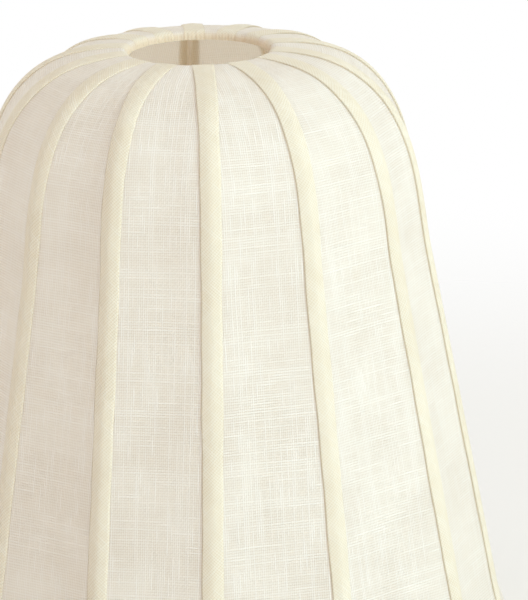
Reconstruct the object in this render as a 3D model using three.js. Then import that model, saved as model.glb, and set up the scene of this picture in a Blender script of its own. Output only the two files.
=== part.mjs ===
// A dome-shaped fabric lamp shade on a ribbed wire frame.
// Units are millimetres, +Z is up, and the origin is the centre of the bottom rim, on the surface that it stands on.
// Rib 1 is the one nearest the front (-Y), and the ribs are counted towards +X.
import * as THREE from 'three';

// Overall shape, measured on the outside of the cloth along a rib.
const HEIGHT = 320;
const CREST_RADIUS = 39; // the highest circle of the top rim
const SHOULDER_RADIUS = 116.3; // where the shoulder meets the straight flare
const SHOULDER_DEPTH = 99.7; // and how far that is below the crest
const FLARE = THREE.MathUtils.degToRad(10.5); // the skirt's lean from the vertical
const SHOULDER_TOP_HANDLE = 74.5;
const SHOULDER_SIDE_HANDLE = 33.2;
const TURN_IN_DEPTH = 6.2; // how far the cloth reaches down inside the top rim

// Ribs. They are bent and covered by hand, so each is set a little off its even place,
// and leans sideways a little on its way down.
const RIB_COUNT = 14;
const FIRST_RIB_DEG = 2.5;
const RIB_SET_DEG = [-1, -0.4, 2.6, -1.5, 0, 0.5, 0, 0.5, 0, -0.5, 0.5, 0, 0.5, -0.5];
const RIB_LEAN_DEG = [-3, -2.5, 1, -1, 0, 1, 0.5, 0, -1, 0.5, 1, -0.5, 0, 1];
const LEAN_LENGTH = 300; // depth over which a rib leans by its whole angle
const LEAN_PIVOT_DEPTH = 120;

// Layers, from the outside in.
const TAPE_THICKNESS = 0.8;
const LAYER_GAP = 0.3;
const PANEL_THICKNESS = 1;
const RIB_WIRE_RADIUS = 1.4;
const TOP_RING_WIRE_RADIUS = 1.5;
const BOTTOM_RING_WIRE_RADIUS = 2;
const PANEL_OFFSET = TAPE_THICKNESS + LAYER_GAP;
const FRAME_OFFSET = PANEL_OFFSET + PANEL_THICKNESS + LAYER_GAP;
const RIB_OFFSET = FRAME_OFFSET + RIB_WIRE_RADIUS;
const TOP_RING_OFFSET = FRAME_OFFSET + TOP_RING_WIRE_RADIUS;
const FACET_CLEARANCE = 0.8; // keeps the bottom ring clear of the panels' flat facets
const BOTTOM_RING_OFFSET = FRAME_OFFSET + BOTTOM_RING_WIRE_RADIUS + FACET_CLEARANCE;

const TAPE_WIDTH = 10.5;
const PANEL_SIDE_GAP = 0.4; // between neighbouring panels, under the tape

// Bottom rim: a folded binding round the bottom ring.
const BINDING_HEIGHT = 12;
const BINDING_THICKNESS = 0.8;
const BINDING_PROUD = 0.4; // how far it stands out from the tapes
const BINDING_INNER_OFFSET = BOTTOM_RING_OFFSET + BOTTOM_RING_WIRE_RADIUS + LAYER_GAP;
const BINDING_WIDTH = BINDING_PROUD + BINDING_INNER_OFFSET + BINDING_THICKNESS;
const BOTTOM_RING_Z = BINDING_THICKNESS + LAYER_GAP + BOTTOM_RING_WIRE_RADIUS;
const PANEL_END_Z = BINDING_THICKNESS + 2 * LAYER_GAP;
const RIB_END_Z = BOTTOM_RING_Z + BOTTOM_RING_WIRE_RADIUS + 2 * LAYER_GAP;
const TAPE_END_GAP = 0.4; // between a tape's lower end and the binding
const TAPE_END_Z = BINDING_HEIGHT + TAPE_END_GAP;

// The panels are round at both rings and flat from rib to rib in between.
const FLAT_FROM_DEPTH = 15;
const FLAT_TO_DEPTH = 270;
const ROUND_AGAIN_DEPTH = HEIGHT - TAPE_END_Z;

// Lampholder fitter: a flat ring on three arms that reach the ribs.
const FITTER_DEPTH = 38; // its mid plane below the crest
const FITTER_HOLE_RADIUS = 21;
const FITTER_RADIUS = 28;
const FITTER_THICKNESS = 2;
const FITTER_ARM_RADIUS = 1.5;
const FITTER_ARM_RIBS = [0, 5, 9];
const ARM_END_SLANT = 1.3; // the rib slants where an arm meets it, which brings its surface closer

const RIB_SIDES = 6;
const RING_SIDES = 8;
const TOP_RING_SEGMENTS = 42;
const BOTTOM_RIM_SEGMENTS = 56;
const FITTER_SEGMENTS = 36;

// Where along the shoulder curve the sections stand, from its start (0) to its end (1).
const SHOULDER_STATIONS = [0.14, 0.3, 0.46, 0.63, 0.81, 1];
const SKIRT_MIDDLE_DEPTH = 190;

const PANEL_CLOTH = new THREE.Color(0.9, 0.86, 0.79);
const TAPE_CLOTH = new THREE.Color(0.91, 0.86, 0.75);
const WIRE_PAINT = new THREE.Color(0.86, 0.83, 0.76);

const shoulder = new THREE.CubicBezierCurve(
  new THREE.Vector2(CREST_RADIUS, 0),
  new THREE.Vector2(CREST_RADIUS + SHOULDER_TOP_HANDLE, 0),
  new THREE.Vector2(
    SHOULDER_RADIUS - SHOULDER_SIDE_HANDLE * Math.sin(FLARE),
    -SHOULDER_DEPTH + SHOULDER_SIDE_HANDLE * Math.cos(FLARE),
  ),
  new THREE.Vector2(SHOULDER_RADIUS, -SHOULDER_DEPTH),
);

// A point (radius, height above the crest) on the shoulder, moved inwards by offset.
function shoulderPoint(t, offset) {
  const tangent = shoulder.getTangent(t);
  const inward = new THREE.Vector2(tangent.y, -tangent.x);
  return shoulder.getPoint(t).addScaledVector(inward, offset);
}

// A point on the straight skirt, whose outer face is at this depth there.
function skirtPoint(depth, offset) {
  const radius = SHOULDER_RADIUS + (depth - SHOULDER_DEPTH) * Math.tan(FLARE);
  return new THREE.Vector2(radius - offset * Math.cos(FLARE), -depth - offset * Math.sin(FLARE));
}

// The skirt's point at this offset that lies at height z over the table.
function skirtPointAtHeight(z, offset) {
  return skirtPoint(HEIGHT - z - offset * Math.sin(FLARE), offset);
}

// A point on the cloth where it wraps the top ring, at an angle from the outward horizontal.
function rimPoint(angle, offset) {
  const radius = TOP_RING_OFFSET - offset;
  return new THREE.Vector2(
    CREST_RADIUS + radius * Math.cos(angle),
    -TOP_RING_OFFSET + radius * Math.sin(angle),
  );
}

// The cloth's line along a rib, from the edge inside the rim to the tape's lower end, as (radius, height).
function clothLine(offset) {
  const turnedIn = rimPoint(Math.PI, offset);
  const rim = [180, 135, 90].map((degrees) => rimPoint(THREE.MathUtils.degToRad(degrees), offset));
  return [
    new THREE.Vector2(turnedIn.x, -TURN_IN_DEPTH),
    ...rim,
    ...SHOULDER_STATIONS.map((t) => shoulderPoint(t, offset)),
    skirtPoint(SKIRT_MIDDLE_DEPTH, offset),
    skirtPoint(FLAT_TO_DEPTH, offset),
    skirtPointAtHeight(TAPE_END_Z, offset),
  ];
}

function ribAngle(rib, depth) {
  const index = ((rib % RIB_COUNT) + RIB_COUNT) % RIB_COUNT;
  const even = FIRST_RIB_DEG + (360 / RIB_COUNT) * rib;
  const lean = (RIB_LEAN_DEG[index] * (depth - LEAN_PIVOT_DEPTH)) / LEAN_LENGTH;
  return THREE.MathUtils.degToRad(even + RIB_SET_DEG[index] + lean);
}

// How far the cloth has gone from round (0) to flat between the ribs (1).
function flatness(depth) {
  const top = THREE.MathUtils.smoothstep(depth, 0, FLAT_FROM_DEPTH);
  const bottom = 1 - THREE.MathUtils.smoothstep(depth, FLAT_TO_DEPTH, ROUND_AGAIN_DEPTH);
  return top * bottom;
}

// The place in space of a line point turned to an angle between rib and rib + 1.
function clothPoint(point, rib, angle) {
  const depth = Math.max(0, -point.y);
  const from = ribAngle(rib, depth);
  const halfSpan = (ribAngle(rib + 1, depth) - from) / 2;
  const chord = Math.cos(halfSpan) / Math.cos(angle - from - halfSpan);
  const radius = point.x * (1 - flatness(depth) * (1 - chord));
  return new THREE.Vector3(radius * Math.sin(angle), -radius * Math.cos(angle), HEIGHT + point.y);
}

function geometryFrom(points, triangles) {
  const geometry = new THREE.BufferGeometry().setFromPoints(points);
  geometry.setIndex(triangles);
  geometry.computeVertexNormals();
  return geometry;
}

// A slab between two grids of points with the same rows and columns.
function slab(outer, inner) {
  const rows = outer.length;
  const columns = outer[0].length;
  const innerStart = rows * columns;
  const triangles = [];
  const quad = (a, b, c, d) => triangles.push(a, b, c, a, c, d);
  const at = (row, column) => row * columns + column;
  for (let row = 0; row + 1 < rows; row += 1) {
    for (let column = 0; column + 1 < columns; column += 1) {
      const [a, b, c, d] = [at(row, column), at(row + 1, column), at(row + 1, column + 1), at(row, column + 1)];
      quad(a, b, c, d);
      quad(innerStart + a, innerStart + d, innerStart + c, innerStart + b);
    }
    for (const [from, to] of [[at(row + 1, 0), at(row, 0)], [at(row, columns - 1), at(row + 1, columns - 1)]]) {
      quad(from, to, innerStart + to, innerStart + from);
    }
  }
  for (let column = 0; column + 1 < columns; column += 1) {
    const last = rows - 1;
    for (const [from, to] of [[at(0, column), at(0, column + 1)], [at(last, column + 1), at(last, column)]]) {
      quad(from, to, innerStart + to, innerStart + from);
    }
  }
  return geometryFrom([...outer.flat(), ...inner.flat()], triangles);
}

// A round wire through the centres, with flat ends. up is square to the wire all the way.
function wire(centres, radius, sides, up) {
  const points = [];
  const triangles = [];
  centres.forEach((centre, i) => {
    const before = centres[Math.max(0, i - 1)];
    const after = centres[Math.min(centres.length - 1, i + 1)];
    const along = new THREE.Vector3().subVectors(after, before).normalize();
    const side = new THREE.Vector3().crossVectors(along, up).normalize();
    const top = new THREE.Vector3().crossVectors(side, along);
    for (let k = 0; k < sides; k += 1) {
      const angle = (2 * Math.PI * (k + 0.5)) / sides;
      const spoke = side.clone().multiplyScalar(radius * Math.cos(angle));
      points.push(spoke.addScaledVector(top, radius * Math.sin(angle)).add(centre));
    }
  });
  for (let i = 0; i + 1 < centres.length; i += 1) {
    for (let k = 0; k < sides; k += 1) {
      const a = i * sides + k;
      const b = i * sides + ((k + 1) % sides);
      triangles.push(a, b + sides, b, a, a + sides, b + sides);
    }
  }
  const last = (centres.length - 1) * sides;
  for (let k = 1; k + 1 < sides; k += 1) {
    triangles.push(0, k, k + 1, last, last + k + 1, last + k);
  }
  return geometryFrom(points, triangles);
}

// A closed profile of (radius, z) points turned round the shade's axis.
function turned(profile, segments) {
  const closed = [...profile, profile[0]].map(([radius, z]) => new THREE.Vector2(radius, z));
  return new THREE.LatheGeometry(closed, segments).rotateX(Math.PI / 2);
}

function ringWire(radius, z, wireRadius, segments) {
  const profile = [];
  for (let k = 0; k < RING_SIDES; k += 1) {
    const angle = (2 * Math.PI * (k + 0.5)) / RING_SIDES;
    profile.push([radius + wireRadius * Math.cos(angle), z + wireRadius * Math.sin(angle)]);
  }
  return turned(profile, segments);
}

// A panel has a fold line under each tape's edge and one down its middle.
function panelGeometry(rib) {
  const face = (offset) => [...clothLine(offset), skirtPointAtHeight(PANEL_END_Z, offset)].map((point) => {
    const depth = Math.max(0, -point.y);
    const from = ribAngle(rib, depth);
    const to = ribAngle(rib + 1, depth);
    const side = PANEL_SIDE_GAP / 2 / point.x;
    const tapeEdge = Math.asin(TAPE_WIDTH / 2 / point.x);
    const angles = [from + side, from + tapeEdge, (from + to) / 2, to - tapeEdge, to - side];
    return angles.map((angle) => clothPoint(point, rib, angle));
  });
  return slab(face(PANEL_OFFSET), face(PANEL_OFFSET + PANEL_THICKNESS));
}

function tapeGeometry(rib) {
  const face = (offset) => clothLine(offset).map((point) => {
    const middle = ribAngle(rib, Math.max(0, -point.y));
    const half = Math.asin(TAPE_WIDTH / 2 / point.x);
    return [
      clothPoint(point, rib - 1, middle - half),
      clothPoint(point, rib, middle),
      clothPoint(point, rib, middle + half),
    ];
  });
  return slab(face(0), face(TAPE_THICKNESS));
}

// The rib's centreline: it starts against the top ring's outer side and ends over the bottom ring.
function ribLine() {
  const start = new THREE.Vector2(CREST_RADIUS + TOP_RING_WIRE_RADIUS + LAYER_GAP, -RIB_OFFSET);
  return [
    start,
    ...SHOULDER_STATIONS.map((t) => shoulderPoint(t, RIB_OFFSET)),
    skirtPoint(SKIRT_MIDDLE_DEPTH, RIB_OFFSET),
    skirtPoint(FLAT_TO_DEPTH, RIB_OFFSET),
    skirtPointAtHeight(RIB_END_Z, RIB_OFFSET),
  ];
}

function atRib(point, rib) {
  const angle = ribAngle(rib, -point.y);
  return new THREE.Vector3(point.x * Math.sin(angle), -point.x * Math.cos(angle), HEIGHT + point.y);
}

function ribGeometry(rib) {
  const middle = ribAngle(rib, LEAN_PIVOT_DEPTH);
  const sideways = new THREE.Vector3(Math.cos(middle), Math.sin(middle), 0);
  return wire(ribLine().map((point) => atRib(point, rib)), RIB_WIRE_RADIUS, RIB_SIDES, sideways);
}

function bindingGeometry() {
  const outside = (z) => skirtPointAtHeight(z, -BINDING_PROUD).x;
  const top = outside(BINDING_HEIGHT);
  const floor = outside(BINDING_THICKNESS);
  return turned([
    [outside(0), 0],
    [top, BINDING_HEIGHT],
    [top - BINDING_THICKNESS, BINDING_HEIGHT],
    [floor - BINDING_THICKNESS, BINDING_THICKNESS],
    [floor - BINDING_WIDTH + BINDING_THICKNESS, BINDING_THICKNESS],
    [top - BINDING_WIDTH + BINDING_THICKNESS, BINDING_HEIGHT],
    [top - BINDING_WIDTH, BINDING_HEIGHT],
    [outside(0) - BINDING_WIDTH, 0],
  ], BOTTOM_RIM_SEGMENTS);
}

function fitterRingGeometry(z) {
  const low = z - FITTER_THICKNESS / 2;
  const high = z + FITTER_THICKNESS / 2;
  return turned([
    [FITTER_RADIUS, low],
    [FITTER_RADIUS, high],
    [FITTER_HOLE_RADIUS, high],
    [FITTER_HOLE_RADIUS, low],
  ], FITTER_SEGMENTS);
}

// The rib line's radius at a depth, found between the two stations round it.
function ribRadiusAt(depth) {
  const line = ribLine();
  const next = line.findIndex((point) => -point.y >= depth);
  const [above, below] = [line[next - 1], line[next]];
  return THREE.MathUtils.mapLinear(-depth, above.y, below.y, above.x, below.x);
}

// An arm runs level from the fitter ring's edge to the inner side of a rib.
function fitterArm(name, rib, z, material) {
  const angle = ribAngle(rib, FITTER_DEPTH);
  const from = FITTER_RADIUS + LAYER_GAP;
  const underArm = FITTER_DEPTH - FITTER_ARM_RADIUS; // the slanting wire is nearest at the arm's upper side
  const to = ribRadiusAt(underArm) - RIB_WIRE_RADIUS * ARM_END_SLANT - LAYER_GAP;
  const rod = new THREE.CylinderGeometry(FITTER_ARM_RADIUS, FITTER_ARM_RADIUS, to - from, RING_SIDES);
  const arm = new THREE.Mesh(rod, material.clone());
  arm.name = name;
  const middle = (from + to) / 2;
  arm.position.set(middle * Math.sin(angle), -middle * Math.cos(angle), z);
  arm.rotation.z = angle;
  return arm;
}

const panelCloth = new THREE.MeshStandardMaterial({ color: PANEL_CLOTH, roughness: 0.9, metalness: 0 });
const tapeCloth = new THREE.MeshStandardMaterial({ color: TAPE_CLOTH, roughness: 0.9, metalness: 0 });
const wirePaint = new THREE.MeshStandardMaterial({ color: WIRE_PAINT, roughness: 0.45, metalness: 0.2 });

function piece(name, geometry, material) {
  const mesh = new THREE.Mesh(geometry, material.clone());
  mesh.name = name;
  return mesh;
}

function wireFrame() {
  const frame = new THREE.Group();
  const bottomRingRadius = skirtPointAtHeight(BOTTOM_RING_Z, BOTTOM_RING_OFFSET).x;
  const topRingZ = HEIGHT - TOP_RING_OFFSET;
  const topRing = ringWire(CREST_RADIUS, topRingZ, TOP_RING_WIRE_RADIUS, TOP_RING_SEGMENTS);
  const bottomRing = ringWire(bottomRingRadius, BOTTOM_RING_Z, BOTTOM_RING_WIRE_RADIUS, BOTTOM_RIM_SEGMENTS);
  frame.add(piece('top_ring', topRing, wirePaint), piece('bottom_ring', bottomRing, wirePaint));
  for (let rib = 0; rib < RIB_COUNT; rib += 1) {
    frame.add(piece(`rib_wire_${numbered(rib)}`, ribGeometry(rib), wirePaint));
  }
  return frame;
}

function fitter() {
  const group = new THREE.Group();
  const z = HEIGHT - FITTER_DEPTH;
  group.add(piece('fitter_ring', fitterRingGeometry(z), wirePaint));
  FITTER_ARM_RIBS.forEach((rib, i) => group.add(fitterArm(`fitter_arm_${i + 1}`, rib, z, wirePaint)));
  return group;
}

function cover() {
  const cloth = new THREE.Group();
  for (let rib = 0; rib < RIB_COUNT; rib += 1) {
    cloth.add(piece(`fabric_panel_${numbered(rib)}`, panelGeometry(rib), panelCloth));
    cloth.add(piece(`rib_tape_${numbered(rib)}`, tapeGeometry(rib), tapeCloth));
  }
  cloth.add(piece('bottom_binding', bindingGeometry(), tapeCloth));
  return cloth;
}

function numbered(rib) {
  return String(rib + 1).padStart(2, '0');
}

const lampShade = new THREE.Group();
lampShade.add(wireFrame(), fitter(), cover());

export default lampShade;
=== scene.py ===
"""A dome-shaped linen lamp shade: cloth panels over a ribbed wire frame, with folded tapes on the ribs."""

import math

import bpy
import numpy as np
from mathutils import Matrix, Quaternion, Vector


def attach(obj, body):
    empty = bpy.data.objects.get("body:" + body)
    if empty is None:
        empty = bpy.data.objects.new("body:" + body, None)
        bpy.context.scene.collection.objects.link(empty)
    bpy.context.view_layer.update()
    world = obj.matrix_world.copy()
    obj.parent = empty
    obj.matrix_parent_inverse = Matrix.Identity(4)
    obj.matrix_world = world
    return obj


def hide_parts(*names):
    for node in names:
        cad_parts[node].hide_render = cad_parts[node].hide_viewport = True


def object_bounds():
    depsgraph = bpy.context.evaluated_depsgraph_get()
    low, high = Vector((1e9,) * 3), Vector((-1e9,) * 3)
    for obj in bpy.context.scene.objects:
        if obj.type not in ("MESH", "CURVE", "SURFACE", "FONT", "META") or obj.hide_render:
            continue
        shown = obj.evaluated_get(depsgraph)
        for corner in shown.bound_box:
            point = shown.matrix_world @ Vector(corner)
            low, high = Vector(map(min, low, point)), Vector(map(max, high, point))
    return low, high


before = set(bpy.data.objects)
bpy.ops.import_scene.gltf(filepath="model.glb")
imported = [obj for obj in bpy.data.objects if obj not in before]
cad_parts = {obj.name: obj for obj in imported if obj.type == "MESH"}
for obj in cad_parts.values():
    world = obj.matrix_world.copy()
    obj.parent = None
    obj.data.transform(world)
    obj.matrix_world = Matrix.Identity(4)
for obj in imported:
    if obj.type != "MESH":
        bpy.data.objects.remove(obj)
CAD_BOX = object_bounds()

# All lengths are in metres. These are the CAD part's, on the outside of the cloth along a rib.
HEIGHT = CAD_BOX[1].z
CREST_RADIUS = 0.039  # of the highest circle of the rim, over the top ring
SHOULDER_RADIUS = 0.1163  # where the dome ends and the straight skirt starts
SHOULDER_DEPTH = 0.0997  # below the crest
FLARE = math.radians(10.5)  # of the skirt, from upright
SHOULDER_TOP_HANDLE = 0.0745  # the dome's curve leaves the crest with this handle
SHOULDER_SIDE_HANDLE = 0.0332  # and meets the skirt with this one
TURN_IN_DEPTH = 0.0049  # of the cloth's edge inside the rim
RIM_WRAP_RADIUS = 0.0036  # of the cloth's outer face round the top ring

# The ribs are not quite evenly spaced or upright: each has its own place and lean, in degrees.
RIB_COUNT = 14
FIRST_RIB_DEG = 2.5
RIB_SET_DEG = [-1, -0.4, 2.6, -1.5, 0, 0.5, 0, 0.5, 0, -0.5, 0.5, 0, 0.5, -0.5]
RIB_LEAN_DEG = [-3, -2.5, 1, -1, 0, 1, 0.5, 0, -1, 0.5, 1, -0.5, 0, 1]
LEAN_LENGTH = 0.3
LEAN_PIVOT_DEPTH = 0.12

# The cloth is round at the rim and at the bottom, and flat between the ribs from FLAT_FROM to FLAT_TO.
FLAT_FROM_DEPTH = 0.015
FLAT_TO_DEPTH = 0.27
ROUND_AGAIN_DEPTH = 0.3076

# The wire frame. Offsets go inwards from the tapes' nominal outer face, here and below.
RIB_OFFSET = 0.0038
RIB_WIRE_RADIUS = 0.0014
RIB_TOP_GAP = 0.0025  # from the crest, along the cloth
RIB_END_Z = 0.006
TOP_RING_WIRE_RADIUS = 0.0015
BOTTOM_RING_WIRE_RADIUS = 0.002
BOTTOM_RING_OFFSET = 0.0052
BOTTOM_RING_Z = 0.0031
FITTER_DEPTH = 0.038
FITTER_HOLE_RADIUS = 0.021
FITTER_RADIUS = 0.028
FITTER_THICKNESS = 0.002
FITTER_EDGE_RADIUS = 0.0004
FITTER_ARM_RADIUS = 0.0015
FITTER_ARM_RIBS = [0, 5, 9]

# The cloth's layers.
CLOTH_THICKNESS = 0.00045
PANEL_OFFSET = 0.0008
RIM_PANEL_OFFSET = 0.0004  # where the cloth is pulled tight over the rim
PANEL_SEAM_GAP = 0.0003  # from a panel's side to the middle of the rib
PANEL_HOLLOW = 0.0009  # how far a panel's middle sinks in
PANEL_RIPPLE = 0.00012
PANEL_END_Z = 0.0015
TIGHT_TO = 0.001  # past the crest, the cloth is tight this far
LOOSE_FROM = 0.016  # and loose from here
TURNED_IN_START = 0.0015  # inside the crest, the cloth starts to lie double here
TURNED_IN_FULL = 0.0055  # and is all double here
GATHERS_START = 0.001  # and the same for its gathers
GATHERS_FULL = 0.0045
GATHER_HEIGHT = 0.00012
FINE_GATHERS = 118  # round the rim
COARSE_GATHERS = 61

TAPE_WIDTH = 0.0105
TAPE_FLAT_OFFSET = 0.0001  # of its outer face away from the middle and the edges
TAPE_RIDGE = 0.0003  # how far the wire lifts the tape's middle
TAPE_RIDGE_WIDTH = 0.0028
TAPE_BRIDGE = 0.003  # how wide the tape rounds the bend over a rib
TAPE_CLEARANCE = 0.00005  # over the panels
TAPE_UNDER_BINDING = 0.002
TAPE_EDGE_WAVES = [(0.00012, 160, 2.1), (0.00010, 71, 1)]  # (height, rate along, shift from rib to rib)
EDGE_SHADOW_WIDTH = 0.00055  # width of the painted shadow along the tape's left, folded edge
RIM_EDGE_SHADOW_LOSS = 0.7  # how much paler that painted shadow is over the rim

# How a tape's edges roll away, as (width, share of the tape's thickness).
FOLDED_EDGE = (0.0008, 0.45)  # on the left, where the tape is folded tight and stitched
LYING_EDGE = (0.0016, 0.7)  # on the right, where it lies flat on the panel
UNDER_EDGE = (0.0008, 0.2)

# The strip that binds the bottom edge.
BINDING_HEIGHT = 0.012
BINDING_THICKNESS = 0.0008
BINDING_PROUD = 0.0004  # how far it stands out from the tapes' nominal outer face
BINDING_CORNER_RADIUS = 0.0026
BINDING_CORNER_OFFSET = 0.0022  # of the corner's centre
BINDING_FLAT_MIDDLE = 0.0037  # the binding lies flat on the table here, between the corner and the ring
BINDING_WRAP_RADIUS = 0.0031  # round the bottom ring
BINDING_FLAP = [  # (offset inwards, height) of the flap, up the inside
    (0.0066, 0.0063),
    (0.0050, 0.0079),
    (0.0038, 0.0092),
    (0.0032, 0.0105),
    (0.0030, BINDING_HEIGHT),
]
BINDING_OVER_TAPE = 0.0008  # how far it bulges over a tape's end
BINDING_OVER_TAPE_WIDTH = 0.006
BINDING_OVER_RIB_OFFSET = 0.0064  # its inner flap goes round the ribs this far in
BINDING_OVER_RIB_WIDTH = 0.005
BINDING_FLAP_Z = 0.006  # the flap is what lies above this height inside
BINDING_THIN_EDGE = 0.0008  # the strip is pressed thinner this far in from its edges
BINDING_EDGE_PRESS = 0.6  # and by this share
BINDING_PUCKER = 0.00012
BINDING_EDGE_REACH = 0.002  # the puckers fade out towards the edges from here, and the upper edge waves
BINDING_EDGE_WAVE = 0.00015

# How finely the pieces are meshed.
RIM_ROWS_REACH = 0.012  # past the crest, the rows are close together this far
RIM_ROWS = 44
SHOULDER_ROWS = 60
SKIRT_ROWS = 70
PANEL_COLUMNS = 27
TAPE_COLUMNS = 33
TAPE_COLUMN_CROWDING = 0.35  # towards the tape's edges
RIB_STEPS = 90
BINDING_STEPS = 449

# The weave.
WARP_PITCH = 0.00108
WEFT_PITCH = 0.00132
WARP_SLUB_RATE = 48  # slubs that could follow each other in a metre of thread
WARP_SLUB_START = 0.53  # the noise value that slubs start at
WEFT_SLUB_RATE = 40
WEFT_SLUB_START = 0.56
WEFT_SLUB_SHARE = 0.8
WEFT_PALE_SHARE = 0.75
WARP_SEED = 1.0
WEFT_SEED = 40.0
SLUB_FADE = 0.16  # how much more noise makes a slub full
PALE_RATE = 11  # of the paler stretches, per metre of thread
PALE_FROM = 0.46  # the noise values between which a thread turns paler
PALE_TO = 0.66
PALE_STRENGTH = 0.75
SWAY_ALONG = 22  # how fast the threads' sway changes, per metre along and across them
SWAY_ACROSS = 60
LANE_STEP = 3.71  # moves each thread to noise of its own
BIAS = math.radians(47)
WEAVE_SHIFTS = 3  # each piece is cut from another part of the cloth, up to this far away
PATCH_SCALE = 32.0  # the gaps between threads show in patches
PATCH_FROM = 0.36
PATCH_TO = 0.64
PATCH_LEAST = 0.65
GAP_BELOW = 0.75  # the threads' height that a gap starts under
GAP_FULL = 0.1
BUMP_DEPTH = 0.0002

# Colours and how light goes through the linen.
TURN_IN_SHADE_COLOUR = (0.86, 0.725, 0.54, 1)  # painted shade: darker and warmer where the linen is folded in double, as less light comes through
TURN_IN_SHADE_SHARE = 0.75
# painted shadow along each tape's left edge
EDGE_SHADOW_COLOUR = (0.55, 0.46, 0.34, 1)
EDGE_SHADOW_SHARE = 0.55
GAP_LIGHT = 0.65  # how much more light a gap lets through
SLUB_SHADE = 0.5  # and how much less a slub does
FOLD_SHADE = 0.45
LINEN_RELIEF = 0.5
THREAD_RELIEF = 0.6  # next to the slubs'
PAINT_RELIEF = 0.15

# The stage, the lights and the camera.
FLOOR_COLOUR = (0.745, 0.70, 0.667, 1)
FLOOR_SOLID_RADIUS = 0.35
FLOOR_RADIUS = 0.9
FLOOR_SIDES = 96
SOFT_BOX_ELEVATION = math.radians(20)
SOFT_BOX_DISTANCE = 2.2
SOFT_BOX_SIZE = 1.3
SOFT_BOX_COLOUR = (0.70, 0.93, 0.98)
KEY_AZIMUTH = math.radians(52)
KEY_POWER = 33.5
FILL_AZIMUTH = math.radians(195)
FILL_POWER = 9
CAMERA_DISTANCE = 2.4636  # from the middle of the top opening
CAMERA_ELEVATION = math.radians(13.32)  # above that opening
CAMERA_ROLL = math.radians(1.13)
CAMERA_LENS = 295.6
CAMERA_SENSOR_WIDTH = 36
AIM_RIGHT = 0.0298  # where the camera looks, from the middle of the opening, square to the line of sight
AIM_DOWN = 0.1275
LIGHT_BOUNCES = 24  # enough for light that goes through the cloth and about inside the shade
DIFFUSE_BOUNCES = 12

rng = np.random.default_rng(14)


def smoothstep(low, high, x):
    t = np.clip((x - low) / (high - low), 0, 1)
    return t * t * (3 - 2 * t)


# ---------------------------------------------------------------- the cloth's line along a rib


def rim_fold_line():
    """Points and inward normals of the cloth inside the rim and over the top ring."""
    depths = np.linspace(TURN_IN_DEPTH, RIM_WRAP_RADIUS, 8)[:-1]
    inside = np.full_like(depths, CREST_RADIUS - RIM_WRAP_RADIUS)
    angles = np.linspace(math.pi, math.pi / 2, 24)
    arc_radius = CREST_RADIUS + RIM_WRAP_RADIUS * np.cos(angles)
    arc_height = RIM_WRAP_RADIUS * (np.sin(angles) - 1)
    points = np.vstack([np.column_stack([inside, -depths]), np.column_stack([arc_radius, arc_height])])
    normals = np.vstack([
        np.tile([1.0, 0.0], (len(depths), 1)),
        np.column_stack([-np.cos(angles), -np.sin(angles)]),
    ])
    return points, normals


def shoulder_line():
    """The shoulder is one cubic curve from the crest to the skirt."""
    lean = np.array([math.sin(FLARE), -math.cos(FLARE)])
    start = np.array([CREST_RADIUS, 0.0])
    end = np.array([SHOULDER_RADIUS, -SHOULDER_DEPTH])
    a = start + [SHOULDER_TOP_HANDLE, 0.0]
    b = end - SHOULDER_SIDE_HANDLE * lean
    t = np.linspace(0, 1, 160)[1:, None]
    points = (1 - t) ** 3 * start + 3 * (1 - t) ** 2 * t * a + 3 * (1 - t) * t ** 2 * b + t ** 3 * end
    slope = 3 * (1 - t) ** 2 * (a - start) + 6 * (1 - t) * t * (b - a) + 3 * t ** 2 * (end - b)
    slope /= np.linalg.norm(slope, axis=1)[:, None]
    return points, np.column_stack([slope[:, 1], -slope[:, 0]])


def skirt_line():
    lean = np.array([math.sin(FLARE), -math.cos(FLARE)])
    drop = np.linspace(0, HEIGHT - SHOULDER_DEPTH, 60)[1:, None]
    points = np.array([SHOULDER_RADIUS, -SHOULDER_DEPTH]) + drop / math.cos(FLARE) * lean
    return points, np.tile([-math.cos(FLARE), -math.sin(FLARE)], (len(drop), 1))


class Meridian:
    """The cloth's outer line along a rib, by the distance from its edge inside the rim."""

    def __init__(self):
        parts = [rim_fold_line(), shoulder_line(), skirt_line()]
        self.points = np.vstack([p for p, n in parts])
        self.normals = np.vstack([n for p, n in parts])
        steps = np.linalg.norm(np.diff(self.points, axis=0), axis=1)
        self.distance = np.concatenate([[0], np.cumsum(steps)])
        self.crest = self.distance[len(parts[0][0]) - 1]

    def at(self, distance, offset):
        """(radius, height above the crest) there, moved inwards by offset. Both may be arrays."""
        columns = [np.interp(distance, self.distance, c) for c in (*self.points.T, *self.normals.T)]
        radius, height, out, up = columns
        scale = np.hypot(out, up)
        return radius + offset * out / scale, height + offset * up / scale

    def distance_at_depth(self, depth):
        """The distance of the outside point that lies this deep below the crest."""
        outside = self.distance >= self.crest
        return np.interp(depth, -self.points[outside, 1], self.distance[outside])


meridian = Meridian()


def rib_angle(rib, depth):
    index = rib % RIB_COUNT
    even = FIRST_RIB_DEG + 360 / RIB_COUNT * rib
    lean = RIB_LEAN_DEG[index] * (depth - LEAN_PIVOT_DEPTH) / LEAN_LENGTH
    return np.radians(even + RIB_SET_DEG[index] + lean)


def flatness(depth):
    """How far the cloth has gone from round (0) to flat between the ribs (1)."""
    return smoothstep(0, FLAT_FROM_DEPTH, depth) * (1 - smoothstep(FLAT_TO_DEPTH, ROUND_AGAIN_DEPTH, depth))


def outside_depth(distance):
    """The depth of the cloth's outer face below the crest, and 0 inside the rim."""
    return np.where(distance > meridian.crest, -meridian.at(distance, 0)[1], 0.0)


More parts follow.
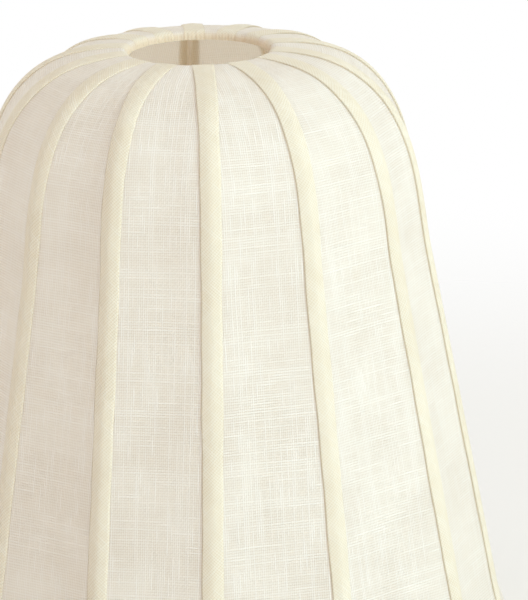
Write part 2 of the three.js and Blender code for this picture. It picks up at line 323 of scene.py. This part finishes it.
def cloth_points(distance, rib, angle, offset):
    """Places in space on the cloth between rib and rib + 1. The arguments are arrays of one shape."""
    depth = outside_depth(distance)
    radius, height = meridian.at(distance, offset)
    start = rib_angle(rib, depth)
    half = (rib_angle(rib + 1, depth) - start) / 2
    chord = np.cos(half) / np.cos(angle - start - half)
    radius = radius * (1 - flatness(depth) * (1 - chord))
    return np.stack([radius * np.sin(angle), -radius * np.cos(angle), HEIGHT + height], axis=-1)


def skirt_radius(z, offset):
    """The skirt's radius at a height over the table, moved inwards from the tapes' outer face."""
    outside = SHOULDER_RADIUS + (HEIGHT - z - SHOULDER_DEPTH) * math.tan(FLARE)
    return outside - offset / math.cos(FLARE)


# ---------------------------------------------------------------- mesh building


def new_object(name, vertices, faces, material, uvs=None, shares=None, sharp_deg=50):
    """A smooth-shaded mesh object. uvs holds one (u, v) in metres per vertex, and shares named values per
    vertex that the material reads, from 0 to 1."""
    mesh = bpy.data.meshes.new(name)
    mesh.from_pydata(np.asarray(vertices).tolist(), [], faces)
    mesh.validate()
    if uvs is not None:
        layer = mesh.uv_layers.new(name="cloth")
        corner = np.zeros(len(mesh.loops), np.int32)
        mesh.loops.foreach_get("vertex_index", corner)
        layer.data.foreach_set("uv", np.asarray(uvs, np.float32)[corner].ravel())
    for share, values in (shares or {}).items():
        layer = mesh.attributes.new(share, "FLOAT", "POINT")
        layer.data.foreach_set("value", np.asarray(values, np.float32))
    mesh.polygons.foreach_set("use_smooth", [True] * len(mesh.polygons))
    mesh.set_sharp_from_angle(angle=math.radians(sharp_deg))
    mesh.materials.append(material)
    made = bpy.data.objects.new(name, mesh)
    bpy.context.scene.collection.objects.link(made)
    return made


def stand_in(piece, node):
    """Makes the piece stand for a CAD node: hides the node and hangs the piece on the root body."""
    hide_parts(node)
    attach(piece, "root")


def grid_faces(rows, columns, start, flip):
    faces = []
    for row in range(rows - 1):
        for column in range(columns - 1):
            a = start + row * columns + column
            quad = (a, a + columns, a + columns + 1, a + 1)
            faces.append(quad[::-1] if flip else quad)
    return faces


def shell(name, outer, inner, uvs, material, doubled_and_shaded=0.0, edge_shadow=0.0):
    """A closed thin sheet between two grids of points, shaped (rows, columns, 3). The last two arguments give
    how far the cloth lies on more cloth, which also darkens it with painted shade, and how far a painted
    shadow darkens it along a tape's left edge."""
    rows, columns = outer.shape[:2]
    count = rows * columns
    faces = grid_faces(rows, columns, 0, False) + grid_faces(rows, columns, count, True)
    border = [row * columns for row in range(rows)]
    border += [(rows - 1) * columns + column for column in range(1, columns)]
    border += [row * columns + columns - 1 for row in range(rows - 2, -1, -1)]
    border += list(range(columns - 2, 0, -1))
    for a, b in zip(border, border[1:] + border[:1]):
        faces.append((b, a, a + count, b + count))
    vertices = np.concatenate([outer.reshape(-1, 3), inner.reshape(-1, 3)])
    flat_uvs = np.concatenate([uvs.reshape(-1, 2)] * 2)
    shares = {
        "doubled_and_shaded": np.tile(np.broadcast_to(doubled_and_shaded, (rows, columns)).ravel(), 2),
        "edge_shadow": np.tile(np.broadcast_to(edge_shadow, (rows, columns)).ravel(), 2),
    }
    return new_object(name, vertices, faces, material, flat_uvs, shares)


def ring_mesh(name, section, material, segments=224):
    """A closed section of (radius, z) points turned round the axis."""
    section = np.asarray(section)
    sides = len(section)
    turns = np.linspace(0, 2 * math.pi, segments, endpoint=False)
    radius, z = section[:, 0], section[:, 1]
    vertices = np.stack([
        np.outer(np.sin(turns), radius),
        np.outer(-np.cos(turns), radius),
        np.tile(z, (segments, 1)),
    ], axis=-1).reshape(-1, 3)
    faces = []
    for i in range(segments):
        j = (i + 1) % segments
        for k in range(sides):
            m = (k + 1) % sides
            faces.append((i * sides + k, j * sides + k, j * sides + m, i * sides + m))
    return new_object(name, vertices, faces, material)


def wire_mesh(name, centres, radius, material, sides=16):
    """A round wire along the centres, with domed ends."""
    along = np.gradient(centres, axis=0)
    along /= np.linalg.norm(along, axis=1)[:, None]
    across = np.cross(along, [0.0, 0.0, 1.0])
    across /= np.linalg.norm(across, axis=1)[:, None]
    up = np.cross(across, along)
    dome = np.radians([75, 50, 25])
    rows = [(0, -radius * math.sin(a), radius * math.cos(a)) for a in dome]
    rows += [(i, 0.0, radius) for i in range(len(centres))]
    rows += [(-1, radius * math.sin(a), radius * math.cos(a)) for a in dome[::-1]]
    turns = np.linspace(0, 2 * math.pi, sides, endpoint=False)
    vertices = [centres[0] - radius * along[0]]
    for index, shift, width in rows:
        centre = centres[index] + shift * along[index]
        for turn in turns:
            vertices.append(centre + width * (math.cos(turn) * across[index] + math.sin(turn) * up[index]))
    vertices.append(centres[-1] + radius * along[-1])
    faces = []
    last = len(vertices) - 1
    tail = 1 + (len(rows) - 1) * sides
    for k in range(sides):
        m = (k + 1) % sides
        faces.append((0, 1 + k, 1 + m))
        for row in range(len(rows) - 1):
            a = 1 + row * sides
            b = a + sides
            faces.append((a + k, b + k, b + m, a + m))
        faces.append((tail + k, last, tail + m))
    return new_object(name, vertices, faces, material, sharp_deg=80)


# ---------------------------------------------------------------- materials


class Nodes:
    """Short names for building a material's nodes."""

    def __init__(self, name):
        self.material = bpy.data.materials.new(name)
        self.material.use_nodes = True
        self.tree = self.material.node_tree
        self.tree.nodes.clear()

    def node(self, kind, **settings):
        made = self.tree.nodes.new("ShaderNode" + kind)
        for key, value in settings.items():
            setattr(made, key, value)
        return made

    def feed(self, socket, value):
        if isinstance(value, bpy.types.NodeSocket):
            self.tree.links.new(value, socket)
        else:
            socket.default_value = value

    def math(self, operation, a, b=0.0, c=0.0):
        made = self.node("Math", operation=operation)
        for socket, value in zip(made.inputs, (a, b, c)):
            self.feed(socket, value)
        return made.outputs[0]

    def times(self, a, b):
        return self.math("MULTIPLY", a, b)

    def vector(self, x, y, z=0.0):
        made = self.node("CombineXYZ")
        for socket, value in zip(made.inputs, (x, y, z)):
            self.feed(socket, value)
        return made.outputs[0]

    def noise(self, vector, scale=1.0, detail=2.0):
        made = self.node("TexNoise", noise_dimensions="3D")
        self.feed(made.inputs["Vector"], vector)
        made.inputs["Scale"].default_value = scale
        made.inputs["Detail"].default_value = detail
        made.inputs["Roughness"].default_value = 0.5
        return made.outputs["Fac"]

    def steps(self, value, low, high, to_low=0.0, to_high=1.0):
        made = self.node("MapRange", interpolation_type="SMOOTHSTEP")
        self.feed(made.inputs["Value"], value)
        made.inputs["From Min"].default_value = low
        made.inputs["From Max"].default_value = high
        made.inputs["To Min"].default_value = to_low
        made.inputs["To Max"].default_value = to_high
        return made.outputs[0]

    def mix_colour(self, factor, a, b):
        made = self.node("Mix", data_type="RGBA")
        self.feed(made.inputs[0], factor)
        self.feed(made.inputs[6], a)
        self.feed(made.inputs[7], b)
        return made.outputs[2]

    def bump(self, height, strength):
        made = self.node("Bump")
        made.inputs["Strength"].default_value = strength
        made.inputs["Distance"].default_value = BUMP_DEPTH
        self.feed(made.inputs["Height"], height)
        return made.outputs[0]

    def share(self, name):
        """One of the values per vertex that new_object stores."""
        return self.node("Attribute", attribute_name=name).outputs["Fac"]

    def output(self, surface):
        out = self.node("OutputMaterial")
        self.tree.links.new(surface, out.inputs["Surface"])
        return self.material


def thread_family(g, across, along, pitch, slub_rate, slub_start, seed):
    """One family of parallel threads: its round profile, slubs, paler stretches and the threads' numbers."""
    sway = g.noise(g.vector(g.times(along, SWAY_ALONG), g.times(across, SWAY_ACROSS), seed))
    place = g.math("ADD", g.math("DIVIDE", across, pitch), sway)
    thread = g.math("FLOOR", place)
    side = g.math("ABSOLUTE", g.math("SUBTRACT", g.math("FRACT", place), 0.5))
    profile = g.math("SUBTRACT", 1.0, g.times(g.times(side, side), 4.0))
    lane = g.times(thread, LANE_STEP)
    crown = g.math("POWER", profile, 2.0)
    swell = g.noise(g.vector(g.times(along, slub_rate), lane, seed + 7.0), detail=1.0)
    slub = g.times(g.steps(swell, slub_start, slub_start + SLUB_FADE), crown)
    weight = g.noise(g.vector(g.times(along, PALE_RATE), lane, seed + 19.0), detail=1.0)
    pale = g.times(g.steps(weight, PALE_FROM, PALE_TO), crown)
    return profile, slub, pale, thread


def woven(g, u, v):
    """Plain weave of two thread families: (height, slubs, paler threads), each about 0 to 1."""
    warp, warp_slub, warp_pale, warp_id = thread_family(
        g, u, v, WARP_PITCH, WARP_SLUB_RATE, WARP_SLUB_START, WARP_SEED)
    weft, weft_slub, weft_pale, weft_id = thread_family(
        g, v, u, WEFT_PITCH, WEFT_SLUB_RATE, WEFT_SLUB_START, WEFT_SEED)
    parity = g.math("PINGPONG", g.math("ADD", warp_id, weft_id), 1.0)
    top = g.math("ADD", g.times(warp, parity), g.times(weft, g.math("SUBTRACT", 1.0, parity)))
    slub = g.math("MAXIMUM", warp_slub, g.times(weft_slub, WEFT_SLUB_SHARE))
    return top, slub, g.math("MAXIMUM", warp_pale, g.times(weft_pale, WEFT_PALE_SHARE))


def linen(name, ground, bright, gap, slub_strength, gap_strength, see_through, bias=False):
    """Slub linen. ground, bright and gap are the colours of threads, slubs and the gaps between threads.
    see_through is the share of light that the cloth lets on, and bias turns the weave by about 45 degrees."""
    g = Nodes(name)
    uv = g.node("UVMap", uv_map="cloth").outputs["UV"]
    if bias:
        turn = g.node("VectorRotate", rotation_type="Z_AXIS")
        g.feed(turn.inputs["Vector"], uv)
        turn.inputs["Angle"].default_value = BIAS
        uv = turn.outputs[0]
    split = g.node("SeparateXYZ")
    g.feed(split.inputs[0], uv)
    u, v = split.outputs[0], split.outputs[1]
    top, slub, pale = woven(g, u, v)
    slub = g.times(g.math("MAXIMUM", slub, g.times(pale, PALE_STRENGTH)), slub_strength)
    patches = g.noise(g.vector(u, v, 3.0), scale=PATCH_SCALE)
    patches = g.steps(patches, PATCH_FROM, PATCH_TO, PATCH_LEAST, 1.0)
    open_gap = g.times(g.steps(top, GAP_BELOW, GAP_FULL), g.times(patches, gap_strength))
    doubled_and_shaded = g.share("doubled_and_shaded")
    colour = g.mix_colour(open_gap, ground, gap)
    colour = g.mix_colour(slub, colour, bright)
    # painted shade on the linen turned in double under the rim
    colour = g.mix_colour(g.times(doubled_and_shaded, TURN_IN_SHADE_SHARE), colour, TURN_IN_SHADE_COLOUR)
    # painted shadow along each tape's left edge
    colour = g.mix_colour(g.times(g.share("edge_shadow"), EDGE_SHADOW_SHARE), colour, EDGE_SHADOW_COLOUR)
    thin = g.math("ADD", 1.0, g.times(open_gap, GAP_LIGHT))
    thin = g.math("SUBTRACT", thin, g.times(slub, SLUB_SHADE))
    thin = g.math("SUBTRACT", thin, g.times(doubled_and_shaded, FOLD_SHADE))
    normal = g.bump(g.math("ADD", g.times(top, THREAD_RELIEF), slub), LINEN_RELIEF)
    front = g.node("BsdfPrincipled")
    g.feed(front.inputs["Base Color"], colour)
    front.inputs["Roughness"].default_value = 0.92
    front.inputs["Specular IOR Level"].default_value = 0.1
    front.inputs["Sheen Weight"].default_value = 0.05
    front.inputs["Sheen Roughness"].default_value = 0.6
    g.feed(front.inputs["Normal"], normal)
    through = g.node("BsdfTranslucent")
    g.feed(through.inputs["Color"], colour)
    g.feed(through.inputs["Normal"], normal)
    both = g.node("MixShader")
    g.feed(both.inputs[0], g.times(thin, see_through))
    g.feed(both.inputs[1], front.outputs[0])
    g.feed(both.inputs[2], through.outputs[0])
    return g.output(both.outputs[0])


def painted_wire(name, fresh, aged):
    """Satin paint with a faint orange-peel, and patches of a duller, aged colour."""
    g = Nodes(name)
    place = g.node("TexCoord").outputs["Object"]
    peel = g.noise(place, scale=900.0, detail=2.0)
    patches = g.noise(place, scale=60.0, detail=3.0)
    paint = g.node("BsdfPrincipled")
    g.feed(paint.inputs["Base Color"], g.mix_colour(g.steps(patches, 0.35, 0.7), fresh, aged))
    g.feed(paint.inputs["Roughness"], g.steps(patches, 0.3, 0.7, 0.32, 0.5))
    g.feed(paint.inputs["Normal"], g.bump(peel, PAINT_RELIEF))
    return g.output(paint.outputs[0])


PANEL_LINEN = linen(
    "panel_linen",
    ground=(0.94, 0.905, 0.845, 1),
    bright=(0.965, 0.945, 0.905, 1),
    gap=(0.79, 0.71, 0.625, 1),
    slub_strength=0.6,
    gap_strength=0.85,
    see_through=0.53,
)
TAPE_LINEN = linen(
    "tape_linen",
    ground=(0.945, 0.903, 0.80, 1),
    bright=(0.96, 0.935, 0.86, 1),
    gap=(0.79, 0.70, 0.545, 1),
    slub_strength=0.45,
    gap_strength=0.8,
    see_through=0.51,
    bias=True,
)
WIRE_PAINT = painted_wire("wire_paint", fresh=(0.86, 0.78, 0.68, 1), aged=(0.79, 0.70, 0.59, 1))


# ---------------------------------------------------------------- cloth pieces


def row_distances(end):
    """Rows along the cloth: close together on the rim's gathers, wider down the skirt."""
    rim_end = meridian.crest + RIM_ROWS_REACH
    rim = np.linspace(0, rim_end, RIM_ROWS)[:-1]
    shoulder_end = meridian.distance_at_depth(SHOULDER_DEPTH)
    shoulder = np.linspace(rim_end, shoulder_end, SHOULDER_ROWS)[:-1]
    return np.concatenate([rim, shoulder, np.linspace(shoulder_end, end, SKIRT_ROWS)])


def gathers(distance, angle):
    """Small pleats in the cloth that is turned in under the rim, as an offset inwards."""
    inside = 1 - smoothstep(meridian.crest - GATHERS_FULL, meridian.crest - GATHERS_START, distance)
    fine = np.sin(angle * FINE_GATHERS + 1.7 * np.sin(angle * 9))
    coarse = np.sin(angle * COARSE_GATHERS + 2.1 * np.sin(angle * 5 + 1))
    return -GATHER_HEIGHT * inside * (fine + 0.8 * coarse)


def rim_share(distance):
    """1 on the rim, where the cloth is pulled tight and flat, and 0 on the rest."""
    return 1 - smoothstep(meridian.crest + TIGHT_TO, meridian.crest + LOOSE_FROM, distance)


def turned_in(distance):
    """1 on the cloth that is folded in under the rim, and 0 outside it."""
    return 1 - smoothstep(meridian.crest - TURNED_IN_FULL, meridian.crest - TURNED_IN_START, distance)


def panel_offset(distance):
    return PANEL_OFFSET + (RIM_PANEL_OFFSET - PANEL_OFFSET) * rim_share(distance)


def make_panel(rib):
    """The cloth from one rib to the next: a gore with a slight hollow, and its seams under the tapes."""
    end = meridian.distance_at_depth(HEIGHT - PANEL_END_Z)
    distance = row_distances(end)[:, None]
    across = np.linspace(0, 1, PANEL_COLUMNS)[None, :]
    depth = outside_depth(distance)
    radius = meridian.at(distance, PANEL_OFFSET)[0]
    inset = PANEL_SEAM_GAP / radius
    start, stop = rib_angle(rib, depth) + inset, rib_angle(rib + 1, depth) - inset
    angle = start + (stop - start) * across
    span = (stop - start) * radius
    distance = distance + 0 * angle
    hollow = PANEL_HOLLOW * np.sin(math.pi * across) ** 2 * flatness(depth)
    ripple = PANEL_RIPPLE * np.sin(distance * 55 + 5 * across + rib) * np.sin(math.pi * across)
    offset = panel_offset(distance) + hollow + ripple * flatness(depth) + gathers(distance, angle)
    outer = cloth_points(distance, rib, angle, offset)
    inner = cloth_points(distance, rib, angle, offset + CLOTH_THICKNESS)
    shift = rng.uniform(0, WEAVE_SHIFTS, 2)
    uvs = np.stack([(across - 0.5) * span + shift[0], distance + shift[1]], axis=-1)
    panel = shell(f"linen_panel_{rib + 1:02d}", outer, inner, uvs, PANEL_LINEN, doubled_and_shaded=turned_in(distance))
    stand_in(panel, f"fabric_panel_{rib + 1:02d}")


def rounded_edge(inset, width, drop):
    """How far an edge has rolled away at this distance in from it: drop at the edge, 0 from width on."""
    near = np.clip(1 - inset / width, 0, 1)
    return drop * (1 - np.sqrt(1 - near ** 2))


def tape_columns():
    """Places across a tape from -1 to 1, closer together towards its rolled edges."""
    even = np.linspace(-1, 1, TAPE_COLUMNS)
    return np.sin(even * math.pi / 2) * TAPE_COLUMN_CROWDING + even * (1 - TAPE_COLUMN_CROWDING)


def tape_crown(sideways):
    """How far a tape bridges the bend between two flat panels, for a bend with a slope of 1 each side."""
    bend = np.abs(sideways)
    edge = TAPE_WIDTH / 2
    smooth = np.sqrt(bend ** 2 + TAPE_BRIDGE ** 2) - TAPE_BRIDGE
    smooth_edge = math.hypot(edge, TAPE_BRIDGE) - TAPE_BRIDGE
    return np.maximum(bend - smooth * edge / smooth_edge, 0)


def tape_layers(distance, angle, depth, sideways, inset):
    """The offsets inwards of a tape's outer face and of its underside."""
    ridge = TAPE_RIDGE * np.exp(-(sideways / TAPE_RIDGE_WIDTH) ** 2) * (1 - rim_share(distance))
    crown = tape_crown(sideways) * flatness(depth) * math.tan(math.pi / RIB_COUNT)
    top = TAPE_FLAT_OFFSET - ridge - crown + gathers(distance, angle)
    base = panel_offset(distance) - TAPE_CLEARANCE + gathers(distance, angle)
    thickness = base - top - crown
    edge = np.where(sideways < 0, rounded_edge(inset, *FOLDED_EDGE), rounded_edge(inset, *LYING_EDGE))
    return top + edge * thickness, base - rounded_edge(inset, *UNDER_EDGE) * thickness


def make_tape(rib):
    """The strip over a rib, from inside the rim to under the binding."""
    end = meridian.distance_at_depth(HEIGHT - BINDING_HEIGHT + TAPE_UNDER_BINDING)
    distance = row_distances(end)[:, None]
    place = tape_columns()[None, :]
    depth = outside_depth(distance)
    radius = meridian.at(distance, 0)[0]
    wave = sum(height * np.sin(distance * rate + rib * step) for height, rate, step in TAPE_EDGE_WAVES)
    half = TAPE_WIDTH / 2 + wave
    sideways = place * half
    inset = half - np.abs(sideways)
    angle = rib_angle(rib, depth) + np.arcsin(sideways / radius)
    distance = distance + 0 * angle
    grids = []
    for offset in tape_layers(distance, angle, depth, sideways, inset):
        left = cloth_points(distance, rib - 1, angle, offset)
        right = cloth_points(distance, rib, angle, offset)
        grids.append(np.where((sideways < 0)[..., None], left, right))
    shift = rng.uniform(0, WEAVE_SHIFTS, 2)
    uvs = np.stack([sideways + shift[0], distance + shift[1]], axis=-1)
    # painted shadow along the tape's left edge, paler over the rim
    edge_shadow = np.where(sideways < 0, 1 - smoothstep(EDGE_SHADOW_WIDTH / 3, EDGE_SHADOW_WIDTH, inset), 0)
    edge_shadow = edge_shadow * (1 - RIM_EDGE_SHADOW_LOSS * rim_share(distance))
    tape = shell(f"linen_tape_{rib + 1:02d}", *grids, uvs, TAPE_LINEN, turned_in(distance), edge_shadow)
    stand_in(tape, f"rib_tape_{rib + 1:02d}")


def binding_path():
    """The binding's outer line in section, as (offset inwards, height): down the outside, round the ring and
    up inside."""
    outside = [(-BINDING_PROUD, z) for z in np.linspace(BINDING_HEIGHT, BINDING_CORNER_RADIUS, 12)]
    corner = []
    for a in np.radians(np.arange(15, 91, 15)):
        corner.append((
            BINDING_CORNER_OFFSET - BINDING_CORNER_RADIUS * math.cos(a),
            BINDING_CORNER_RADIUS - BINDING_CORNER_RADIUS * math.sin(a),
        ))
    under = [(BINDING_FLAT_MIDDLE, 0.0), (BOTTOM_RING_OFFSET, 0.0)]
    ring = []
    for a in np.radians(np.arange(15, 121, 15)):
        ring.append((
            BOTTOM_RING_OFFSET + BINDING_WRAP_RADIUS * math.sin(a),
            BINDING_WRAP_RADIUS - BINDING_WRAP_RADIUS * math.cos(a),
        ))
    return np.array(outside + corner + under + ring + BINDING_FLAP)


def binding_lift(path, turns):
    """How far the binding moves inwards to clear the tapes' ends outside and the ribs inside."""
    ribs = np.array([rib_angle(rib, HEIGHT - BINDING_HEIGHT) for rib in range(RIB_COUNT)])
    apart = np.abs((turns - ribs[None, :] + math.pi) % (2 * math.pi) - math.pi).min(axis=1)[:, None]
    nearest = apart * skirt_radius(0, 0)
    outside = path[:, 0] < 0
    over_tape = BINDING_OVER_TAPE * np.exp(-(nearest / BINDING_OVER_TAPE_WIDTH) ** 2) * outside
    flap = (path[:, 1] > BINDING_FLAP_Z) & (path[:, 0] > 0)
    room = np.maximum(BINDING_OVER_RIB_OFFSET - path[:, 0], 0) * flap
    over_rib = room * np.exp(-(nearest / BINDING_OVER_RIB_WIDTH) ** 4)
    return over_rib - over_tape


def make_binding():
    """A bias strip, folded round the bottom ring and the ends of the cloth."""
    path = binding_path()
    along = np.gradient(path, axis=0)
    along /= np.linalg.norm(along, axis=1)[:, None]
    normal = np.column_stack([-along[:, 1], along[:, 0]])
    steps = np.linalg.norm(np.diff(path, axis=0), axis=1)
    run = np.concatenate([[0], np.cumsum(steps)])
    inset = np.minimum(run, run[-1] - run)
    skin = BINDING_THICKNESS * (1 - BINDING_EDGE_PRESS * np.clip(1 - inset / BINDING_THIN_EDGE, 0, 1) ** 2)
    turns = np.linspace(2 * math.pi, 0, BINDING_STEPS)[:, None]
    pucker = BINDING_PUCKER * np.sin(turns * 90 + run * 700 + 2 * np.sin(turns * 7))
    pucker = pucker * np.clip(inset / BINDING_EDGE_REACH, 0, 1)
    wave = BINDING_EDGE_WAVE * np.sin(turns * 23) * (run < BINDING_EDGE_REACH)
    grids = []
    for depth in (0.0, 1.0):
        offset = path[:, 0] + depth * skin * normal[:, 0] + binding_lift(path, turns) - pucker
        z = path[:, 1] + depth * skin * normal[:, 1] + wave
        radius = skirt_radius(z, offset)
        grids.append(np.stack([radius * np.sin(turns), -radius * np.cos(turns), np.maximum(z, 0)], axis=-1))
    girth = 2 * math.pi * skirt_radius(0, 0)
    uvs = np.stack([run + 0 * turns, turns / (2 * math.pi) * girth + 0 * run], axis=-1)
    binding = shell("linen_binding", *grids, uvs, TAPE_LINEN)
    stand_in(binding, "bottom_binding")


# ---------------------------------------------------------------- frame pieces


def make_rib(rib):
    """A wire that follows the cloth from the top ring down to the bottom ring."""
    top = meridian.distance_at_depth(0.0) + RIB_TOP_GAP
    bottom = meridian.distance_at_depth(HEIGHT - RIB_END_Z)
    distance = np.linspace(top, bottom, RIB_STEPS)
    radius, height = meridian.at(distance, RIB_OFFSET)
    angle = rib_angle(rib, -height)
    centres = np.stack([radius * np.sin(angle), -radius * np.cos(angle), HEIGHT + height], axis=-1)
    wire = wire_mesh(f"rib_{rib + 1:02d}", centres, RIB_WIRE_RADIUS, WIRE_PAINT)
    stand_in(wire, f"rib_wire_{rib + 1:02d}")


def make_ring(node, radius, z, wire_radius):
    """A round wire ring."""
    turns = np.linspace(0, 2 * math.pi, 20, endpoint=False)
    section = np.column_stack([radius + wire_radius * np.cos(turns), z + wire_radius * np.sin(turns)])
    stand_in(ring_mesh("wire_" + node, section, WIRE_PAINT), node)


def make_fitter_ring():
    """A flat washer with rounded edges."""
    middle = HEIGHT - FITTER_DEPTH
    half = FITTER_THICKNESS / 2
    corners = [
        (FITTER_RADIUS - FITTER_EDGE_RADIUS, middle + half - FITTER_EDGE_RADIUS, 0),
        (FITTER_HOLE_RADIUS + FITTER_EDGE_RADIUS, middle + half - FITTER_EDGE_RADIUS, 90),
        (FITTER_HOLE_RADIUS + FITTER_EDGE_RADIUS, middle - half + FITTER_EDGE_RADIUS, 180),
        (FITTER_RADIUS - FITTER_EDGE_RADIUS, middle - half + FITTER_EDGE_RADIUS, 270),
    ]
    section = []
    for radius, z, start in corners:
        for turn in np.radians(start + np.array([0, 30, 60, 90])):
            out = FITTER_EDGE_RADIUS * math.cos(turn)
            up = FITTER_EDGE_RADIUS * math.sin(turn)
            section.append((radius + out, z + up))
    stand_in(ring_mesh("fitter_washer", section, WIRE_PAINT, segments=144), "fitter_ring")


def make_fitter_arm(number, rib):
    """A straight rod, welded between the washer's edge and the inner side of a rib."""
    distance = np.linspace(meridian.crest, meridian.distance_at_depth(SHOULDER_DEPTH), 400)
    radius, height = meridian.at(distance, RIB_OFFSET)
    end = np.interp(FITTER_DEPTH, -height, radius)
    angle = rib_angle(rib, FITTER_DEPTH)
    reach = np.linspace(FITTER_RADIUS - FITTER_ARM_RADIUS / 3, end - RIB_WIRE_RADIUS, 12)
    z = np.full_like(reach, HEIGHT - FITTER_DEPTH)
    centres = np.column_stack([reach * math.sin(angle), -reach * math.cos(angle), z])
    arm = wire_mesh(f"fitter_rod_{number}", centres, FITTER_ARM_RADIUS, WIRE_PAINT)
    stand_in(arm, f"fitter_arm_{number}")


# ---------------------------------------------------------------- stage, light and camera


def make_stage():
    """A pale floor that fades into the white surroundings."""
    g = Nodes("stage_floor")
    place = g.node("TexCoord").outputs["Object"]
    reach = g.node("VectorMath", operation="LENGTH")
    g.feed(reach.inputs[0], place)
    paint = g.node("BsdfDiffuse")
    paint.inputs["Color"].default_value = FLOOR_COLOUR
    clear = g.node("BsdfTransparent")
    both = g.node("MixShader")
    g.feed(both.inputs[0], g.steps(reach.outputs["Value"], FLOOR_SOLID_RADIUS, FLOOR_RADIUS))
    g.feed(both.inputs[1], paint.outputs[0])
    g.feed(both.inputs[2], clear.outputs[0])
    turns = np.linspace(0, 2 * math.pi, FLOOR_SIDES, endpoint=False)
    vertices = [(FLOOR_RADIUS * math.sin(a), -FLOOR_RADIUS * math.cos(a), 0) for a in turns]
    new_object("stage", vertices, [tuple(range(FLOOR_SIDES))], g.output(both.outputs[0]))


def make_world():
    """White surroundings with the same soft light from all round."""
    world = bpy.data.worlds.new("soft_studio")
    world.use_nodes = True
    world.node_tree.nodes["Background"].inputs["Color"].default_value = (1, 1, 1, 1)
    bpy.context.scene.world = world


def make_soft_box(name, azimuth, power):
    """A large round lamp that faces the shade from this angle, measured from the front towards the right."""
    data = bpy.data.lights.new(name, "AREA")
    data.shape = "DISK"
    data.size = SOFT_BOX_SIZE
    data.energy = power
    data.color = SOFT_BOX_COLOUR
    light = bpy.data.objects.new(name, data)
    bpy.context.scene.collection.objects.link(light)
    out = Vector((
        math.sin(azimuth) * math.cos(SOFT_BOX_ELEVATION),
        -math.cos(azimuth) * math.cos(SOFT_BOX_ELEVATION),
        math.sin(SOFT_BOX_ELEVATION),
    ))
    light.location = Vector((0, 0, HEIGHT / 2)) + SOFT_BOX_DISTANCE * out
    light.rotation_mode = "QUATERNION"
    light.rotation_quaternion = (-out).to_track_quat("-Z", "Y")
    light.visible_camera = False


def make_camera():
    """The camera stands in front, a little above the shade, and looks at its upper part."""
    top = Vector((0, 0, HEIGHT))
    towards = Vector((0, -math.cos(CAMERA_ELEVATION), math.sin(CAMERA_ELEVATION)))
    down = Vector((0, -math.sin(CAMERA_ELEVATION), -math.cos(CAMERA_ELEVATION)))
    camera = bpy.data.objects.new("camera", bpy.data.cameras.new("camera"))
    bpy.context.scene.collection.objects.link(camera)
    camera.data.lens = CAMERA_LENS
    camera.data.sensor_width = CAMERA_SENSOR_WIDTH
    camera.data.clip_start = 0.1
    camera.data.clip_end = 50
    camera.location = top + towards * CAMERA_DISTANCE
    aim = top + Vector((AIM_RIGHT, 0, 0)) + down * AIM_DOWN
    look = (aim - camera.location).to_track_quat("-Z", "Y")
    camera.rotation_mode = "QUATERNION"
    camera.rotation_quaternion = look @ Quaternion((0, 0, 1), -CAMERA_ROLL)
    bpy.context.scene.camera = camera


# ---------------------------------------------------------------- the scene

for rib in range(RIB_COUNT):
    make_rib(rib)
    make_panel(rib)
    make_tape(rib)
make_binding()
make_ring("top_ring", CREST_RADIUS, HEIGHT - RIM_WRAP_RADIUS, TOP_RING_WIRE_RADIUS)
bottom_ring_radius = skirt_radius(BOTTOM_RING_Z, BOTTOM_RING_OFFSET)
make_ring("bottom_ring", bottom_ring_radius, BOTTOM_RING_Z, BOTTOM_RING_WIRE_RADIUS)
make_fitter_ring()
for number, rib in enumerate(FITTER_ARM_RIBS, 1):
    make_fitter_arm(number, rib)

make_stage()
make_world()
make_soft_box("key", KEY_AZIMUTH, KEY_POWER)
make_soft_box("fill", FILL_AZIMUTH, FILL_POWER)
make_camera()
bpy.context.scene.view_settings.view_transform = "Standard"
bpy.context.scene.cycles.max_bounces = LIGHT_BOUNCES
bpy.context.scene.cycles.diffuse_bounces = DIFFUSE_BOUNCES
